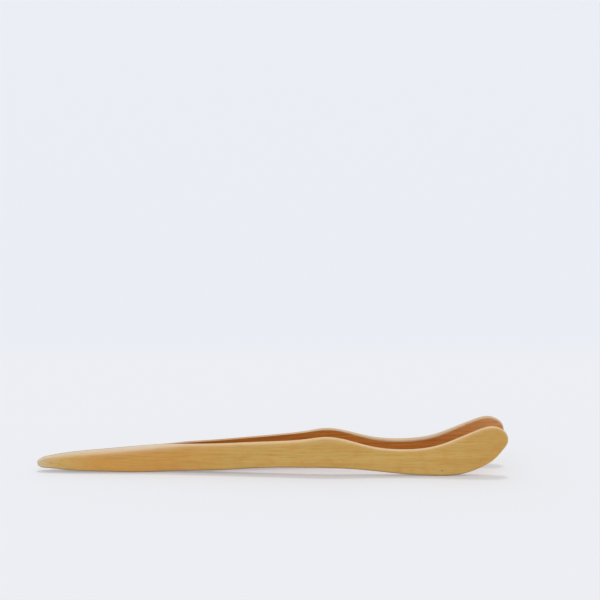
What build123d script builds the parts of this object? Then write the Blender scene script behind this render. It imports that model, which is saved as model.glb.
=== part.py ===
from build123d import *
import math
import os

# Sprung bamboo tongs: two long wavy arms, cut on edge from 3.2 mm bamboo strip, glued face to face
# at a pointed end and standing apart at the gripping end. Squeezing the arms closes the jaws, and
# the bamboo springs them open again.
#
# Row frame, in millimetres: +X runs along the tongs from the glued point to the jaws, +Y runs
# across the gap from the front arm to the back arm, and +Z is up. The tongs stand on the lower
# edges of both arms, as they are laid down on a table. The origin is the bottom centre of the
# whole object. Lengths along the tongs are given from the pointed end and called stations.

# Driving dimensions
LENGTH = 180.0
STRIP_THICKNESS = 3.2
GLUED_LENGTH = 47.0
GLUE_THICKNESS = 0.12
OUTER_ROUND = 0.8
SPREAD_ANGLE = 5.45
RELAXED_ANGLE = 1.8
JAW_ANGLE = 2.6

# Plan of an arm's inner face: stations where its straight runs would meet, and the bends there
SPREAD_STATION = 50.0
RELAX_STATION = 107.0
JAW_STATION = 158.0
BEND_RADII = (70.0, 250.0, 145.0)
TIP_TAPER_LENGTH = 30.0
TAPER_PAST_TIP = 1.5

# Each arm flexes like a cantilever, whose equivalent pivot is this share of its free length
# beyond the glue
PIVOT_SHARE = 0.15
FLEX_CLEARANCE = 0.15

# Side outline, as (station, height) points from the tip to the nose of the jaw and back
TIP_RADIUS = 1.5
TIP_HEIGHT = 3.3
TIP_ARC = 120
TOP_EDGE = [
    (3.2, 5.95),
    (12.0, 7.5),
    (23.0, 8.6),
    (34.0, 9.55),
    (44.0, 10.3),
    (55.0, 10.72),
    (68.0, 11.1),
    (80.0, 11.82),
    (90.0, 12.42),
    (104.5, 13.73),
    (111.0, 14.55),
    (118.0, 13.65),
    (128.0, 11.05),
    (141.0, 9.95),
    (154.0, 11.72),
    (161.0, 14.4),
    (168.0, 17.27),
    (174.6, 18.72),
]
NOSE_RADIUS = 4.2
NOSE_HEIGHT = 13.8
NOSE_TOP_ANGLE = 50
NOSE_BOTTOM_ANGLE = -22
BOTTOM_EDGE = [
    (178.4, 10.25),
    (176.6, 8.0),
    (173.9, 5.45),
    (168.8, 2.65),
    (162.5, 0.65),
    (153.5, 0.0),
    (137.0, 0.92),
    (122.0, 2.42),
    (104.0, 2.87),
    (84.0, 2.27),
    (70.0, 1.22),
    (60.0, 0.8),
    (53.0, 0.45),
    (38.5, 0.0),
    (24.0, 0.36),
    (12.0, 0.78),
    (4.0, 1.4),
]

# The upper outer edge is carved to a slope round the tip, which runs out along the arm. Each line
# gives a station and the heights of the slope at the seam and one strip thickness out from it.
CARVED_SLOPE = [
    (-3.0, 4.5, 2.5),
    (3.2, 5.85, 3.85),
    (12.0, 7.4, 5.4),
    (23.0, 8.5, 6.5),
    (34.0, 9.45, 7.95),
    (44.0, 10.28, 9.05),
    (52.0, 11.0, 10.1),
    (60.0, 12.0, 11.2),
    (68.0, 13.2, 12.5),
]
CARVING_REACH = (-1.0, 7.0)

MID_STATION = LENGTH / 2
PIVOT_STATION = GLUED_LENGTH + PIVOT_SHARE * (LENGTH - GLUED_LENGTH)
PAST_END = 5.0
CUTTER_SIDE = 60.0


def at(station, height):
    """A point of a sketch, from its distance along the tongs and its other coordinate."""
    return (station - MID_STATION, height)


def edge_curve(before, points, after):
    """A smooth curve through points of the outline, running on from one arc into another."""
    knots = [before @ 1, *[at(*point) for point in points], after @ 0]
    return Spline(*knots, tangents=[before % 1, after % 0], tangent_scalars=[1.0, 1.0])


def side_face():
    """The arm's wavy outline, in the XZ plane."""
    tip_centre = at(TIP_RADIUS, TIP_HEIGHT)
    nose_centre = at(LENGTH - NOSE_RADIUS, NOSE_HEIGHT)
    nose_arc = NOSE_BOTTOM_ANGLE - NOSE_TOP_ANGLE
    with BuildSketch(Plane.XZ) as sketch:
        with BuildLine():
            tip = CenterArc(tip_centre, TIP_RADIUS, 180 + TIP_ARC / 2, -TIP_ARC)
            nose = CenterArc(nose_centre, NOSE_RADIUS, NOSE_TOP_ANGLE, nose_arc)
            edge_curve(tip, TOP_EDGE, nose)
            edge_curve(nose, BOTTOM_EDGE, tip)
        make_face()
    return sketch.sketch


def inner_corners():
    """Where the straight runs of the inner face would meet, seen from above."""
    y = GLUE_THICKNESS / 2
    corners = [(SPREAD_STATION, y)]
    runs = [
        (RELAX_STATION, SPREAD_ANGLE),
        (JAW_STATION, RELAXED_ANGLE),
        (LENGTH + PAST_END, -JAW_ANGLE),
    ]
    for station, angle in runs:
        y += (station - corners[-1][0]) * math.tan(math.radians(angle))
        corners.append((station, y))
    return corners


def bent_run(start, offset):
    """The line of a face of the arm, from a start point through its bends, seen from above."""
    points = [at(*start)] + [at(x, y + offset) for x, y in inner_corners()]
    return FilletPolyline(*points, radius=list(BEND_RADII))


def plan_face():
    """The back arm seen from above: a bent strip of even thickness, tapered to the tip."""
    inner_y = GLUE_THICKNESS / 2
    outer_y = inner_y + STRIP_THICKNESS
    with BuildSketch(Plane.XY) as sketch:
        with BuildLine():
            inner = bent_run((-TAPER_PAST_TIP, inner_y), 0.0)
            outer = bent_run((TIP_TAPER_LENGTH, outer_y), STRIP_THICKNESS)
            EllipticalCenterArc(
                at(TIP_TAPER_LENGTH, inner_y),
                TIP_TAPER_LENGTH + TAPER_PAST_TIP,
                STRIP_THICKNESS,
                start_angle=90,
                arc_size=90,
            )
            Line(inner @ 1, outer @ 1)
        make_face()
    return sketch.sketch


def rim_edges(arm):
    """The edges that run all the way round the arm's outer face."""
    outer_faces = [face for face in arm.faces() if face.normal_at().Y > 0.5]
    edges = [edge for face in outer_faces for edge in face.edges()]
    return [edge for edge in edges if edge.geom_type != GeomType.LINE]


def carved_off():
    """What is carved from the back arm's upper outer edge: all that stands above the slope."""
    sections = []
    for y in CARVING_REACH:
        share = y / STRIP_THICKNESS
        slope = [at(station, high + (low - high) * share) for station, high, low in CARVED_SLOPE]
        with BuildSketch(Plane.XZ.offset(-y)) as sketch:
            with BuildLine():
                line = Spline(*slope)
                start, end = line @ 0, line @ 1
                Polyline(end, (end.X, CUTTER_SIDE), (start.X, CUTTER_SIDE), start)
            make_face()
        sections.append(sketch.sketch)
    return loft(sections, ruled=True)


def whole_arm():
    """The back arm in one piece: the side outline cut through the bent strip, then carved."""
    board = extrude(side_face(), amount=CUTTER_SIDE / 2, both=True)
    strip = extrude(plan_face(), amount=CUTTER_SIDE / 2, both=True)
    arm = board & strip
    return fillet(rim_edges(arm), OUTER_ROUND) - carved_off()


def cut_at_pivot(arm):
    """The arm's glued root and its moving blade, either side of the flexing section."""
    pivot_x = PIVOT_STATION - MID_STATION
    pieces = []
    for side in (-1, 1):
        centre_x = pivot_x + side * (CUTTER_SIDE * 2 + FLEX_CLEARANCE) / 2
        cutter = Pos(centre_x, 0, 0) * Box(CUTTER_SIDE * 2, CUTTER_SIDE, CUTTER_SIDE)
        pieces.append(arm & cutter)
    return pieces


def glue_line():
    """The cured glue between the two roots."""
    film = extrude(side_face(), amount=GLUE_THICKNESS / 2, both=True)
    glued_x = (-MID_STATION, GLUED_LENGTH - MID_STATION)
    cutter = Pos(sum(glued_x) / 2, 0, 0) * Box(GLUED_LENGTH, CUTTER_SIDE, CUTTER_SIDE)
    back_waste = carved_off()
    front_waste = mirror(back_waste, about=Plane.XZ)
    return (film & cutter) - back_waste - front_waste


def write(shape, node):
    shape.label = node
    export_step(shape, f"parts/{node}.step")
    box = shape.bounding_box()
    print(node, "volume", round(shape.volume, 1), "box", box.min, box.max)


def main():
    os.makedirs("parts", exist_ok=True)
    back_root, back_blade = cut_at_pivot(whole_arm())
    write(back_root, "back_arm_root")
    write(back_blade, "back_arm_blade")
    write(mirror(back_root, about=Plane.XZ), "front_arm_root")
    write(mirror(back_blade, about=Plane.XZ), "front_arm_blade")
    write(glue_line(), "glue_line")


if __name__ == "__main__":
    main()
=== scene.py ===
"""Sprung bamboo tongs: detailed arms, materials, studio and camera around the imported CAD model."""

import math

import bpy
import numpy as np
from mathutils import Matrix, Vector, noise


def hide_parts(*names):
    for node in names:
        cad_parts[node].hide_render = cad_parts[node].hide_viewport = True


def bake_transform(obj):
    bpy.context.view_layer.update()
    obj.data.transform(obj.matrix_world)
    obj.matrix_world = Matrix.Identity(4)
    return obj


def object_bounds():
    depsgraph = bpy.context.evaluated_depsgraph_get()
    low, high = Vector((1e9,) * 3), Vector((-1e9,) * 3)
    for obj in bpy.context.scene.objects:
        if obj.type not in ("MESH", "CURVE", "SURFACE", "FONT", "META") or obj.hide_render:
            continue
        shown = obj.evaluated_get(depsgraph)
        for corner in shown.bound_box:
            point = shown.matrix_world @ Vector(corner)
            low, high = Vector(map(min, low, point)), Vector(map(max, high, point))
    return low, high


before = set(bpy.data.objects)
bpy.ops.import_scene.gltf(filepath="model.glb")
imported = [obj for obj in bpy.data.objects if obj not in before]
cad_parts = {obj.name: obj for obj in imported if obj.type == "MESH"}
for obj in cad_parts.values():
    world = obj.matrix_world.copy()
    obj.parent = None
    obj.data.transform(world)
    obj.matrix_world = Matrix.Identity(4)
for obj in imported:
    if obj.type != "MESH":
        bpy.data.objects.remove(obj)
cad_low, cad_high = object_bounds()

MM = 0.001


# ---------------------------------------------------------------------------------------------
# The arm's shape, read from the CAD nodes. Lengths here are in millimetres. A station is the
# distance from the pointed end, and every curve is an array of (station, y, z) points.
# ---------------------------------------------------------------------------------------------

BACK_ARM = ("back_arm_root", "back_arm_blade")
BACK_INNER, BACK_OUTER = -1, 1      # which way along Y the back arm's inner and outer faces look
FACING = 0.9            # how much of a face's normal lies along Y where the face looks that way
CORNER_DIGITS = 4       # decimals to which corners are rounded, so that faces share them
CUT_WIDTH = 0.01        # edges this near to the cut between root and blade belong to the cut
SAME_POINT = 1e-4       # points nearer together than this are one point
BELL_REACH = 4          # widths at which a bell curve is cut off


def cad_faces(node, facing):
    """The corner points of a CAD node's faces that look the way `facing` says along Y."""
    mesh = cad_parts[node].data
    tip = Vector((cad_low.x / MM, 0, 0))
    points = [v.co / MM - tip for v in mesh.vertices]
    corners = [tuple(round(c, CORNER_DIGITS) for c in point) for point in points]
    keep = [face for face in mesh.polygons if face.normal.y * facing > FACING]
    return [[corners[i] for i in face.vertices] for face in keep]


def rim_of(faces):
    """The edges that belong to only one of the faces, as pairs of corner points."""
    count = {}
    for face in faces:
        for a, b in zip(face, face[1:] + face[:1]):
            key = (min(a, b), max(a, b))
            count[key] = count.get(key, 0) + 1
    return [key for key, n in count.items() if n == 1 and key[0] != key[1]]


def chains_from(edges, start):
    """The two chains of points that leave `start` along the edges and run to where the edges end,
    the upper chain first."""
    beside = {}
    for a, b in edges:
        beside.setdefault(a, []).append(b)
        beside.setdefault(b, []).append(a)
    chains = []
    for first in beside[start]:
        chain = [start, first]
        while True:
            onward = [p for p in beside[chain[-1]] if p != chain[-2]]
            if len(onward) != 1:
                break
            chain.append(onward[0])
        chains.append(chain)
    return sorted(chains, key=lambda chain: -chain[len(chain) // 2][2])


def outline_chains(root, blade, facing):
    """The arm's upper and lower outlines along its inner face, from the pointed end to the nose."""
    root_edges = rim_of(cad_faces(root, facing))
    blade_edges = rim_of(cad_faces(blade, facing))
    root_end = max(p[0] for edge in root_edges for p in edge)
    blade_start = min(p[0] for edge in blade_edges for p in edge)
    root_edges = [e for e in root_edges if min(e[0][0], e[1][0]) < root_end - CUT_WIDTH]
    blade_edges = [e for e in blade_edges if max(e[0][0], e[1][0]) > blade_start + CUT_WIDTH]
    tip = min((p for e in root_edges for p in e), key=lambda p: p[0])
    nose = max((p for e in blade_edges for p in e), key=lambda p: p[0])
    root_chains = chains_from(root_edges, tip)
    blade_chains = chains_from(blade_edges, nose)
    return [np.array(r + b[::-1]) for r, b in zip(root_chains, blade_chains)]


def smooth_curve(points, shares):
    """Points along a smooth curve through the given ones, at shares from 0 to 1 of its length."""
    steps = np.linalg.norm(np.diff(points, axis=0), axis=1)
    keep = np.concatenate([[True], steps > SAME_POINT])
    points = points[keep]
    along = np.concatenate([[0], np.cumsum(np.linalg.norm(np.diff(points, axis=0), axis=1))])
    slopes = np.gradient(points, along, axis=0)
    where = shares * along[-1]
    i = np.clip(np.searchsorted(along, where, side="right") - 1, 0, len(along) - 2)
    h = (along[i + 1] - along[i])[:, None]
    t = ((where - along[i])[:, None]) / h
    before, after = points[i], points[i + 1]
    return (
        (2 * t**3 - 3 * t**2 + 1) * before
        + (t**3 - 2 * t**2 + t) * h * slopes[i]
        + (3 * t**2 - 2 * t**3) * after
        + (t**3 - t**2) * h * slopes[i + 1]
    )


def bell_blur(values, spacing, width):
    """Values evenly spaced along a line, evened out with a bell curve of that width."""
    reach = int(BELL_REACH * width / spacing) + 1
    offsets = np.arange(-reach, reach + 1) * spacing
    weights = np.exp(-0.5 * (offsets / width) ** 2)
    start, end = values[0], values[-1]
    padded = np.concatenate(
        [2 * start - values[reach:0:-1], values, 2 * end - values[-2:-reach - 2:-1]]
    )
    return np.convolve(padded, weights / weights.sum(), mode="valid")


def ramp(x, start, end):
    """0 before start, 1 after end, and smooth between them."""
    t = np.clip((np.asarray(x, float) - start) / (end - start), 0, 1)
    return t * t * (3 - 2 * t)


STATION_COUNT = 380
END_CROWDING = 0.8      # how much closer together the stations are at the tip and the nose

even = np.linspace(0, 1, STATION_COUNT)
crowded = even - END_CROWDING / (2 * math.pi) * np.sin(2 * math.pi * even)
upper, lower = [smooth_curve(chain, crowded) for chain in outline_chains(*BACK_ARM, BACK_INNER)]
LENGTH = upper[:, 0].max()

# How far the inner and outer faces stand from the middle plane, every PLAN_STEP along the arm,
# with the CAD's flat facets evened out over a bell curve of the given width
PLAN_STEP = 0.5
INNER_BLUR, OUTER_BLUR = 2.0, 1.5
plan_stations = np.arange(0, LENGTH + PLAN_STEP, PLAN_STEP)


def face_offset(facing, width):
    """The Y of the back arm's inner or outer face at every plan station."""
    corners = {p for node in BACK_ARM for face in cad_faces(node, facing) for p in face}
    points = np.array(sorted(corners))
    values = np.interp(plan_stations, points[:, 0], points[:, 1])
    return bell_blur(values, PLAN_STEP, width)


inner_plan = face_offset(BACK_INNER, INNER_BLUR)
outer_plan = face_offset(BACK_OUTER, OUTER_BLUR)


def inner_y(station):
    return np.interp(station, plan_stations, inner_plan)


def outer_y(station):
    return np.interp(station, plan_stations, outer_plan)


# ---------------------------------------------------------------------------------------------
# Arms
# ---------------------------------------------------------------------------------------------

# Rows of points: round the edge from the inner face to the outer face, then across each face
INNER_ROUND_ROWS = 5
RIM_ROWS = 7
OUTER_ROUND_ROWS = 7
FACE_ROWS = 14
FACE_CROWDING = 0.35    # how much closer together a face's rows are near its outline

# Measures that change along the arm: the one at the tip, then each (change, from, to) in stations
CARVED_SLOPE = (0.625, (-0.17, 24, 36), (-0.17, 36, 54))    # inset of the flat, over its depth
CARVED_START = (0.0, (0.8, 44, 53), (2.8, 50, 64))      # how far out from the inner face it starts
INNER_ROUND = (0.05, (0.38, 98, 112), (0.42, 116, 140), (-0.2, 160, 176))
UPPER_ROUND = (1.1, (0.1, 50, 66), (-0.45, 110, 140))
JAW_GAP_SHADE_REACH = (0.0, (1.0, 148, 168))      # how far the inner face's painted gap shade comes round the edge

LOWER_ROUND = 0.8
MOST_INNER_ROUND = 0.3      # this and the next are shares of the strip's thickness
MOST_OUTER_ROUND = 0.45
CREASE = 0.03       # rounds the line where the carved flat starts, in square millimetres
TILT_STEP = 0.05    # the length over which the carved flat's tilt is measured
EDGE_INSET = 0.03       # these two insets keep the arm inside the CAD's outline
OUTLINE_INSET = 0.02
OUTLINE_WOBBLE = (11.0, 0.04)       # wavelength and amount
FACE_WOBBLE = (9.0, 0.04)
FACE_SEED = 7       # added to the seed, so that the faces vary apart from the outline
FACE_SWELL = 0.06
SWELL_HEIGHTS = (0.5, 4)    # heights of the face between which the swell comes in

# How far up the outline's outward normal points where the edge starts to count as upper and where
# it wholly does, and how far down for the painted underside shade
UPPER_NORMAL = (-0.6, 0.5)
UNDERSIDE_SHADE_NORMAL = (0.88, 0.99)

# The masks that tell the material where the sawn edge's colour and painted highlight, the inner
# face's painted gap shade and the painted underside shade go
FIRST_ROW_GAP_SHADE = 0.4       # share of the inner face's painted gap shade on the edge's first row
JAW_GAP_SHADE_ROWS = (0.6, 0.45, 0.3, 0.15, 0.0)    # more of it along the jaw, row by row
RIM_FADE = 1.45         # how fast the sawn edge's colour and painted highlight fade across the carved flat
RIM_LEFT = 0.3          # share of that colour and painted highlight left at the outer end of the upper rounding
RIM_LEFT_ON_FACE = 0.6      # share of what is left there that shows one row into the outer face
RIM_TURN = (0.1, 1.0)       # the part of the outer rounding over which each mask fades
UNDERSIDE_SHADE_TURN = (0.4, 1.0)


def measure(station, first, *changes):
    """A measure at each station, from its value at the tip and its changes along the arm."""
    value = first
    for change, start, end in changes:
        value = value + change * ramp(station, start, end)
    return value


def wobble(points, seed, wavelength, amount):
    """A gentle random offset, the same each run, that varies over `wavelength` millimetres."""
    place = [Vector((x / wavelength, y / wavelength + seed, z / wavelength)) for x, y, z in points]
    return np.array([noise.noise(p) for p in place]) * amount


def inward(outline):
    """The inward unit normals of a closed outline that runs clockwise seen from the front."""
    along = np.roll(outline, -1, axis=0) - np.roll(outline, 1, axis=0)
    along /= np.linalg.norm(along, axis=1)[:, None]
    return np.stack([along[:, 1], -along[:, 0]], axis=1)


def rim_profile(station, upper_share, underside_shade_share):
    """The section round the arm's edge at each outline point: rows of inset, depth and the masks
    rim (the sawn edge's colour and painted highlight), inner (painted gap shade) and under
    (painted underside shade). depth runs from 0 at the inner face to 1 at the outer face. The
    upper outer edge is carved to a flat round the tip, which runs out where the arms part."""
    thick = outer_y(station) - inner_y(station)
    inner_round = np.minimum(measure(station, *INNER_ROUND), MOST_INNER_ROUND * thick)
    outer_round = LOWER_ROUND + (measure(station, *UPPER_ROUND) - LOWER_ROUND) * upper_share
    outer_round = np.minimum(outer_round, MOST_OUTER_ROUND * thick)
    slope = measure(station, *CARVED_SLOPE) * upper_share
    start = measure(station, *CARVED_START)
    jaw_gap_shade = measure(station, *JAW_GAP_SHADE_REACH)

    def inset_at(y):
        past_start = 0.5 * (y - start + np.sqrt((y - start) ** 2 + CREASE))
        return slope * past_start + EDGE_INSET

    rows = []
    for k in range(INNER_ROUND_ROWS):
        turn = k / INNER_ROUND_ROWS * math.pi / 2
        y = inner_round * (1 - math.cos(turn))
        inset = inner_round * (1 - math.sin(turn)) + inset_at(y)
        inner = FIRST_ROW_GAP_SHADE * (k == 0) + JAW_GAP_SHADE_ROWS[k] * jaw_gap_shade
        rows.append((inset, y / thick, 1.0, inner, 0.0))
    corner = inset_at(thick)
    tilt = (corner - inset_at(thick - TILT_STEP)) / TILT_STEP
    run = outer_round / np.sqrt(1 + tilt ** 2)
    edge = inset_at(thick - run)
    for k in range(RIM_ROWS + 1):
        y = inner_round + (thick - run - inner_round) * k / RIM_ROWS
        depth = y / thick
        rows.append((inset_at(y), depth, 1 - RIM_FADE * slope * depth, 0.0, underside_shade_share * depth))
    for k in range(1, OUTER_ROUND_ROWS + 1):
        t = k / OUTER_ROUND_ROWS
        near, mid, far = (1 - t) ** 2, 2 * t * (1 - t), t * t
        y = near * (thick - run) + (mid + far) * thick
        inset = near * edge + mid * corner + far * (corner + outer_round)
        # the sawn edge's colour and painted highlight fade over the outer rounding, less on the upper
        # edge
        edge_and_highlight = (1 - RIM_FADE * slope) * (1 - (1 - RIM_LEFT * upper_share) * ramp(t, *RIM_TURN))
        rows.append((inset, y / thick, edge_and_highlight, 0.0, underside_shade_share * (1 - ramp(t, *UNDERSIDE_SHADE_TURN))))
    return rows


def build_arm(name, side, seed):
    """One whole arm as a closed mesh. side is -1 for the front arm and 1 for the back arm."""
    outline = np.concatenate([upper, lower[-2:0:-1]])
    count = len(outline)
    flat = outline[:, [0, 2]].copy()
    normals = inward(flat)
    flat += normals * (OUTLINE_INSET + wobble(outline, seed, *OUTLINE_WOBBLE))[:, None]
    upper_share = ramp(-normals[:, 1], *UPPER_NORMAL)
    # painted shade on the down-facing edges
    underside_shade_share = ramp(normals[:, 1], *UNDERSIDE_SHADE_NORMAL)
    rows = rim_profile(flat[:, 0], upper_share, underside_shade_share)
    points, marks = [], []
    for inset, depth, *masks in rows:
        ring = flat + normals * inset[:, None]
        y = inner_y(ring[:, 0]) + depth * (outer_y(ring[:, 0]) - inner_y(ring[:, 0]))
        points.append(np.stack([ring[:, 0], y, ring[:, 1]], axis=1))
        marks.append(np.stack([np.broadcast_to(m, (count,)) for m in (depth, *masks)], axis=1))
    ring_count = len(points)
    verts = list(np.concatenate(points))
    marks = list(np.concatenate(marks))
    faces = []
    for r in range(ring_count - 1):
        for i in range(count):
            j = (i + 1) % count
            a, b = r * count + i, r * count + j
            faces.append((a, b, b + count, a + count))
    fill_face(verts, marks, faces, 0, count, seed, inner=True)
    fill_face(verts, marks, faces, (ring_count - 1) * count, count, seed, inner=False)
    return arm_object(name, side, np.array(verts), np.array(marks), faces)


def fill_face(verts, marks, faces, first, count, seed, inner):
    """Fills the inside of one ring with rows of quads, from the upper to the lower outline."""
    n = STATION_COUNT
    top = [first + i for i in range(n)]
    bottom = [first] + [first + count - i for i in range(1, n - 1)] + [first + n - 1]
    a, b = np.array([verts[i] for i in top]), np.array([verts[i] for i in bottom])
    height = np.abs(a[:, 2] - b[:, 2])
    # the inner face carries the painted gap shade
    depth, gap_shaded = (0.0, 1.0) if inner else (1.0, 0.0)
    rows = [top]
    for r in range(1, FACE_ROWS):
        turn = math.cos(math.pi * r / FACE_ROWS)
        v = 0.5 - 0.5 * turn * (FACE_CROWDING * abs(turn) + (1 - FACE_CROWDING))
        row = a + (b - a) * v
        row[:, 1] = inner_y(row[:, 0]) if inner else outer_y(row[:, 0])
        swell = FACE_SWELL * math.sin(math.pi * v) * ramp(height, *SWELL_HEIGHTS)
        row[:, 1] += swell + wobble(row, seed + FACE_SEED, *FACE_WOBBLE)
        ids = [top[0]]
        for k in range(1, n - 1):
            edge_and_highlight = RIM_LEFT_ON_FACE * marks[top[k]][1] if r == 1 and not inner else 0.0
            verts.append(row[k])
            marks.append((depth, edge_and_highlight, gap_shaded, 0.0))
            ids.append(len(verts) - 1)
        rows.append(ids + [top[-1]])
    rows.append(bottom)
    for up, down in zip(rows, rows[1:]):
        for k in range(n - 1):
            corners = [up[k], up[k + 1], down[k + 1], down[k]]
            face = tuple(dict.fromkeys(corners if inner else corners[::-1]))
            faces.append(face[::-1])


def arm_object(name, side, points, marks, faces):
    """Makes the mesh object, with the unbent position and the masks kept as attributes."""
    rest = points.copy()
    thick = outer_y(points[:, 0]) - inner_y(points[:, 0])
    rest[:, 1] = marks[:, 0] * thick
    placed = points.copy()
    placed[:, 0] += cad_low.x / MM
    placed[:, 1] *= side
    placed *= MM
    if side < 0:
        faces = [face[::-1] for face in faces]
    mesh = bpy.data.meshes.new(name)
    mesh.from_pydata([tuple(p) for p in placed], [], faces)
    mesh.update()
    add_attribute(mesh, "rest", "FLOAT_VECTOR", rest)
    add_attribute(mesh, "edge_and_highlight", "FLOAT", marks[:, 1])
    add_attribute(mesh, "inner", "FLOAT", marks[:, 2])
    add_attribute(mesh, "underside_shade", "FLOAT", marks[:, 3])
    for polygon in mesh.polygons:
        polygon.use_smooth = True
    made = bpy.data.objects.new(name, mesh)
    bpy.context.scene.collection.objects.link(made)
    return made


def add_attribute(mesh, name, kind, values):
    attribute = mesh.attributes.new(name, kind, "POINT")
    field = "vector" if kind == "FLOAT_VECTOR" else "value"
    attribute.data.foreach_set(field, np.asarray(values, np.float32).ravel())


# ---------------------------------------------------------------------------------------------
# Materials
# ---------------------------------------------------------------------------------------------

SPECK_SHORTENING = 0.75     # how distances along the fibres are shortened round a mark
SPECK_CORE = 0.3            # share of a mark's size over which it is darkest
SPECK_DARKNESS = 0.4


class Nodes:
    """Short ways to add and join shader nodes."""

    def __init__(self, name):
        self.material = bpy.data.materials.new(name)
        self.material.use_nodes = True
        self.tree = self.material.node_tree
        self.tree.nodes.clear()
        self.surface = self.add("ShaderNodeBsdfPrincipled")
        output = self.add("ShaderNodeOutputMaterial")
        self.join(self.surface.outputs["BSDF"], output.inputs["Surface"])

    def add(self, kind, **settings):
        node = self.tree.nodes.new(kind)
        for key, value in settings.items():
            setattr(node, key, value)
        return node

    def join(self, source, target):
        self.tree.links.new(source, target)

    def put(self, value, socket):
        """Sets a socket to a number or colour, or joins it to another socket."""
        if isinstance(value, bpy.types.NodeSocket):
            self.join(value, socket)
        else:
            socket.default_value = value

    def attribute(self, name, output):
        return self.add("ShaderNodeAttribute", attribute_name=name).outputs[output]

    def stretched(self, vector, scale, offset):
        node = self.add("ShaderNodeMapping")
        self.join(vector, node.inputs["Vector"])
        node.inputs["Scale"].default_value = scale
        node.inputs["Location"].default_value = offset
        return node.outputs["Vector"]

    def noise(self, vector, scale, detail, roughness):
        node = self.add("ShaderNodeTexNoise")
        self.join(vector, node.inputs["Vector"])
        node.inputs["Scale"].default_value = scale
        node.inputs["Detail"].default_value = detail
        node.inputs["Roughness"].default_value = roughness
        return node.outputs["Fac"]

    def span(self, value, low, high, out_low=0.0, out_high=1.0):
        """value moved from low..high to out_low..out_high, and held at those ends."""
        node = self.add("ShaderNodeMapRange")
        self.join(value, node.inputs["Value"])
        node.inputs["From Min"].default_value = low
        node.inputs["From Max"].default_value = high
        node.inputs["To Min"].default_value = out_low
        node.inputs["To Max"].default_value = out_high
        return node.outputs["Result"]

    def product(self, a, b):
        node = self.add("ShaderNodeMath", operation="MULTIPLY")
        self.put(a, node.inputs[0])
        self.put(b, node.inputs[1])
        return node.outputs[0]

    def mix(self, amount, a, b):
        node = self.add("ShaderNodeMix", data_type="RGBA")
        self.put(amount, node.inputs["Factor"])
        self.put(a, node.inputs["A"])
        self.put(b, node.inputs["B"])
        return node.outputs["Result"]

    def layered(self, base, layers):
        """The base colour with each (amount, colour) of the layers mixed over it in turn."""
        for amount, colour in layers:
            base = self.mix(amount, base, colour)
        return base

    def speck(self, rest, station, height, size):
        """How dark a small mark on the strip is: a little longer along the fibres, 0 away from it."""
        scale = (SPECK_SHORTENING, 0.0, 1.0)
        place = self.stretched(rest, scale, (-SPECK_SHORTENING * station, 0.0, -height))
        reach = self.add("ShaderNodeVectorMath", operation="LENGTH")
        self.join(place, reach.inputs[0])
        return self.span(reach.outputs["Value"], size, SPECK_CORE * size, 0.0, SPECK_DARKNESS)

    def bump(self, height, strength, distance, normal=None):
        node = self.add("ShaderNodeBump")
        node.inputs["Strength"].default_value = strength
        node.inputs["Distance"].default_value = distance
        self.join(height, node.inputs["Height"])
        if normal is not None:
            self.join(normal, node.inputs["Normal"])
        return node.outputs["Normal"]


def rgb(red, green, blue):
    """A colour given as screen values from 0 to 255, as the linear colour that shaders use."""
    values = [c / 255 for c in (red, green, blue)]
    return tuple(((c + 0.055) / 1.055) ** 2.4 if c > 0.04045 else c / 12.92 for c in values) + (1.0,)


# Patterns in the bamboo: noise cells to a millimetre along, through and up the strip, then the
# noise's detail and roughness
BANDS = ((0.012, 0.3, 0.42), 2, 0.5)
STREAKS = ((0.035, 1.1, 1.7), 3, 0.6)
LINES = ((0.1, 3.6, 4.4), 2, 0.6)
FIBRES = ((0.2, 9.0, 11.0), 3, 0.6)
MOTTLE = ((0.22, 0.35, 0.3), 3, 0.6)

# Colours of the outer face
STRAW, HONEY = rgb(220, 178, 92), rgb(209, 163, 76)
ORANGE_CLOUD, YELLOW_CLOUD = rgb(212, 150, 64), rgb(206, 172, 96)
WARM_ROOT, WARM_JAW = rgb(218, 151, 56), rgb(206, 152, 64)
PALE_TIP, PALEST_TIP = rgb(220, 186, 122), rgb(222, 203, 166)
BROWN_STREAK = rgb(190, 136, 58)
DARK_LINE, PALE_LINE = rgb(172, 118, 48), rgb(228, 190, 116)
PORE, SPECK = rgb(128, 84, 40), rgb(118, 82, 38)

# Colours of the inner face, painted as shade and bounce light between the arms, of the flat carved
# round the tip with its painted highlight, and of the painted underside shade
GAP_SHADE, DARK_GAP_SHADE = rgb(210, 134, 47), rgb(184, 109, 34)
PARTING_SHADE, JAW_END_PALER_GAP_SHADE, GAP_SHADE_GRAIN_LINE = rgb(160, 92, 34), rgb(226, 168, 108), rgb(160, 90, 31)
CARVED_FLAT_AND_HIGHLIGHT = rgb(224, 208, 184)
UNDERSIDE_SHADE = rgb(112, 84, 54)

FLAT_STATIONS = (66, 44)    # stations between which the carved flat's colour and painted highlight come in
SAWN_AND_HIGHLIGHT_SHARE = 0.75           # how much of the sawn edge's colour and painted highlight shows where there is no flat
# share of the painted underside shade
UNDERSIDE_SHADE_SHARE = 0.85
BAMBOO_IOR = 1.48


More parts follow.
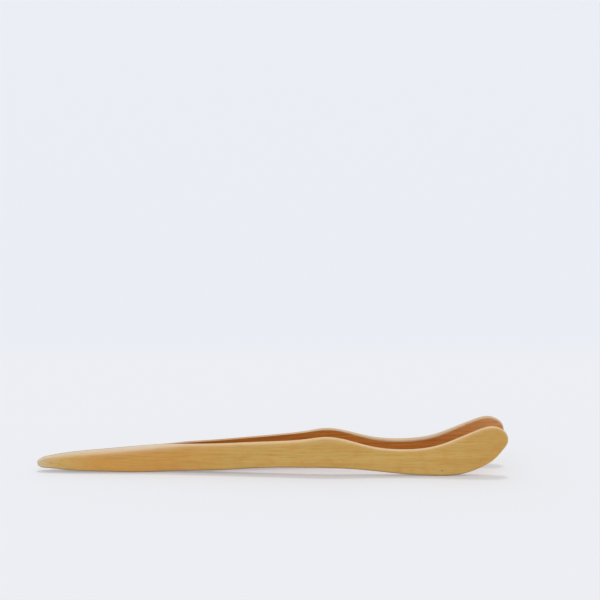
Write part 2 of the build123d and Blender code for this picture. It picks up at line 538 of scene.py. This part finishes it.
def bamboo(name, offset, specks, edge_and_highlight_colours, edge_gap_shade):
    """Sanded bamboo: fibres run straight along the strip, whatever its outline. The sawn edges have
    two colours, mostly paler than the faces, partly their own colour and partly a painted
    highlight. The inner face is painted brown as shade and bounce light between the arms.
    edge_gap_shade is how far that painted brown shade shows on the sawn edge where the arms part."""
    n = Nodes(name)
    rest = n.attribute("rest", "Vector")
    edge_and_highlight = n.attribute("edge_and_highlight", "Fac")
    inner = n.attribute("inner", "Fac")
    underside_shade = n.attribute("underside_shade", "Fac")
    split = n.add("ShaderNodeSeparateXYZ")
    n.join(rest, split.inputs["Vector"])
    station = split.outputs["X"]
    bands, streaks, lines, fibres, mottle = [
        n.noise(n.stretched(rest, scale, offset), 1.0, detail, roughness)
        for scale, detail, roughness in (BANDS, STREAKS, LINES, FIBRES, MOTTLE)
    ]

    # Each span says where along the arm, or in a pattern, a colour comes in, and up to what share
    joined_end = n.product(n.span(station, 6, 22, 0, 0.65), n.span(station, 78, 50))
    face = n.mix(n.span(bands, 0.35, 0.65), STRAW, HONEY)
    face = n.layered(face, [
        (n.span(mottle, 0.45, 0.7, 0, 0.55), ORANGE_CLOUD),
        (n.span(mottle, 0.45, 0.28, 0, 0.4), YELLOW_CLOUD),
        (joined_end, WARM_ROOT),
        (n.span(station, 160, 176, 0, 0.5), WARM_JAW),
        (n.span(station, 22, 0, 0, 0.5), PALE_TIP),
        (n.span(station, 7, 1, 0, 0.7), PALEST_TIP),
        (n.span(streaks, 0.54, 0.7, 0, 0.42), BROWN_STREAK),
        (n.span(lines, 0.56, 0.72, 0, 0.45), DARK_LINE),
        (n.span(lines, 0.42, 0.28, 0, 0.4), PALE_LINE),
    ])
    # the inner face's brown is painted shade and bounce light between the arms, paler towards the jaw
    # end, with grain streaks and lines
    gap_shade = n.mix(n.span(streaks, 0.38, 0.62), GAP_SHADE, DARK_GAP_SHADE)
    gap_shade = n.layered(gap_shade, [
        # painted shade, deeper where the arms part and the gap between them is narrow
        (n.span(station, 105, 60, 0, 0.4), PARTING_SHADE),
        (n.span(station, 152, 178, 0, 0.7), JAW_END_PALER_GAP_SHADE),
        (n.span(lines, 0.52, 0.66, 0, 0.6), GAP_SHADE_GRAIN_LINE),
    ])
    # painted gap shade brought onto the sawn edge where the arms part, mostly on the back arm
    parting_edge_shade = n.product(n.span(station, 48, 58, 0, edge_gap_shade), n.span(station, 104, 76))
    # the sawn edge's colour: partly its own paler colour, partly a painted highlight
    edge = n.mix(n.span(lines, 0.35, 0.65), *edge_and_highlight_colours)
    edge = n.layered(edge, [
        (parting_edge_shade, gap_shade),
        (n.span(station, *FLAT_STATIONS), CARVED_FLAT_AND_HIGHLIGHT),
    ])
    colour = n.layered(face, [
        (n.product(edge_and_highlight, n.span(station, *FLAT_STATIONS, SAWN_AND_HIGHLIGHT_SHARE, 1.0)), edge),
        # painted gap shade on the inner face and round the inner edge
        (n.span(inner, 0.05, 0.7), gap_shade),
        # painted shade on the underside
        (n.product(underside_shade, UNDERSIDE_SHADE_SHARE), UNDERSIDE_SHADE),
        (n.span(fibres, 0.6, 0.72, 0, 0.45), PORE),
        *[(n.speck(rest, *mark), SPECK) for mark in specks],
    ])
    n.join(colour, n.surface.inputs["Base Color"])
    n.join(n.span(lines, 0.3, 0.7, 0.38, 0.52), n.surface.inputs["Roughness"])
    n.surface.inputs["IOR"].default_value = BAMBOO_IOR
    normal = n.bump(fibres, 0.3, 0.03 * MM)
    normal = n.bump(lines, 0.35, 0.06 * MM, normal)
    normal = n.bump(mottle, 0.2, 0.2 * MM, normal)
    n.join(normal, n.surface.inputs["Normal"])
    return n.material


GLUE, PALE_GLUE = rgb(206, 176, 130), rgb(228, 202, 160)
GLUE_PATCHES = 900.0    # noise cells to a metre


def glue(name):
    """Thin cured wood glue, nearly the colour of the wood and slightly uneven."""
    n = Nodes(name)
    place = n.add("ShaderNodeTexCoord").outputs["Object"]
    patches = n.noise(place, GLUE_PATCHES, 3, 0.6)
    n.join(n.mix(patches, GLUE, PALE_GLUE), n.surface.inputs["Base Color"])
    n.join(n.span(patches, 0.3, 0.7, 0.3, 0.5), n.surface.inputs["Roughness"])
    n.join(n.bump(patches, 0.4, 0.03 * MM), n.surface.inputs["Normal"])
    return n.material


NEAR_FLOOR, FAR_FLOOR = rgb(237, 238, 240), rgb(235, 237, 242)
FLOOR_CHANGE = (0.19, 0.26)     # metres behind the object between which one turns into the other
FLOOR_TOOTH = 1500.0    # noise cells to a metre
FLOOR_GLOW = 0.25       # share of the floor's colour that it gives off rather than reflects
BLACK = (0, 0, 0, 1)


def glowing_card(name):
    """The studio floor: matt white card that glows faintly, a little bluer far behind the object."""
    n = Nodes(name)
    place = n.add("ShaderNodeTexCoord").outputs["Object"]
    split = n.add("ShaderNodeSeparateXYZ")
    n.join(place, split.inputs["Vector"])
    tooth = n.noise(place, FLOOR_TOOTH, 2, 0.5)
    colour = n.mix(n.span(split.outputs["Y"], *FLOOR_CHANGE), NEAR_FLOOR, FAR_FLOOR)
    n.join(n.mix(FLOOR_GLOW, colour, BLACK), n.surface.inputs["Base Color"])
    n.join(colour, n.surface.inputs["Emission Color"])
    n.surface.inputs["Emission Strength"].default_value = FLOOR_GLOW
    n.surface.inputs["Roughness"].default_value = 0.9
    n.surface.inputs["Specular IOR Level"].default_value = 0.2
    n.join(n.bump(tooth, 0.15, 0.1 * MM), n.surface.inputs["Normal"])
    return n.material


# ---------------------------------------------------------------------------------------------
# Pieces
# ---------------------------------------------------------------------------------------------


# Small dark marks on each arm, as (station, height, size)
FRONT_SPECKS = [(154.9, 2.2, 0.55), (169.6, 6.0, 0.35)]
BACK_SPECKS = [(64.0, 6.0, 0.4), (131.0, 4.5, 0.5)]

# The sawn edge's two colours on each arm, partly its own paler colour and partly a painted highlight
FRONT_EDGE_AND_HIGHLIGHT = (rgb(240, 206, 160), rgb(227, 191, 144))
BACK_EDGE_AND_HIGHLIGHT = (rgb(217, 193, 166), rgb(203, 177, 149))

GRAIN_SHIFT = (1.0, 0.7, 1.3)       # how far the grain moves each way for each unit of the seed

for side_name, side, seed, specks, edge_and_highlight_colours, edge_gap_shade in (
    ("front", -1, 3.0, FRONT_SPECKS, FRONT_EDGE_AND_HIGHLIGHT, 0.15),
    ("back", 1, 41.0, BACK_SPECKS, BACK_EDGE_AND_HIGHLIGHT, 0.9),
):
    arm = build_arm(f"{side_name}_arm_bamboo", side, seed)
    offset = tuple(seed * shift for shift in GRAIN_SHIFT)
    strip = bamboo(f"bamboo_{side_name}", offset, specks, edge_and_highlight_colours, edge_gap_shade)
    arm.data.materials.append(strip)
    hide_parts(f"{side_name}_arm_root", f"{side_name}_arm_blade")
    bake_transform(arm)

glue_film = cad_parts["glue_line"]
glue_film.data.materials.clear()
glue_film.data.materials.append(glue("cured_glue"))


# ---------------------------------------------------------------------------------------------
# Studio
# ---------------------------------------------------------------------------------------------

def floor(half_side):
    mesh = bpy.data.meshes.new("studio_floor")
    h = half_side
    mesh.from_pydata([(-h, -h, 0), (h, -h, 0), (h, h, 0), (-h, h, 0)], [], [(0, 1, 2, 3)])
    made = bpy.data.objects.new("studio_floor", mesh)
    bpy.context.scene.collection.objects.link(made)
    made.data.materials.append(glowing_card("studio_card"))


def soft_sun(name, towards, strength, spread, colour):
    """A broad, far light that shines from `towards`, as a large diffuser does."""
    light = bpy.data.lights.new(name, "SUN")
    light.energy = strength
    light.angle = math.radians(spread)
    light.color = colour
    made = bpy.data.objects.new(name, light)
    made.rotation_euler = Vector(towards).to_track_quat("Z", "Y").to_euler()
    bpy.context.scene.collection.objects.link(made)


def sky(colour, strength):
    world = bpy.data.worlds.new("studio_air")
    world.use_nodes = True
    background = world.node_tree.nodes["Background"]
    background.inputs["Color"].default_value = colour
    background.inputs["Strength"].default_value = strength
    bpy.context.scene.world = world


floor(half_side=30.0)
sky(colour=(0.965, 0.985, 1.035, 1.0), strength=0.78)
soft_sun("overhead", towards=(0.05, 0.3, 1.0), strength=0.75, spread=9, colour=(1.0, 0.99, 0.97))
bpy.context.scene.view_settings.view_transform = "Standard"

CAMERA_PLACE = (0.01132, -0.6745, 0.193)
CAMERA_TILT = 10.63      # degrees below the horizon
CAMERA_ROLL = -0.25
CAMERA_LENS = 108.92     # millimetres
SENSOR_WIDTH = 36.0

camera_data = bpy.data.cameras.new("camera")
camera_data.lens = CAMERA_LENS
camera_data.sensor_width = SENSOR_WIDTH
camera = bpy.data.objects.new("camera", camera_data)
camera.rotation_mode = "XYZ"
camera.location = CAMERA_PLACE
camera.rotation_euler = (math.radians(90 - CAMERA_TILT), 0, 0)
camera.rotation_euler.rotate_axis("Z", math.radians(CAMERA_ROLL))
bpy.context.scene.collection.objects.link(camera)
bpy.context.scene.camera = camera
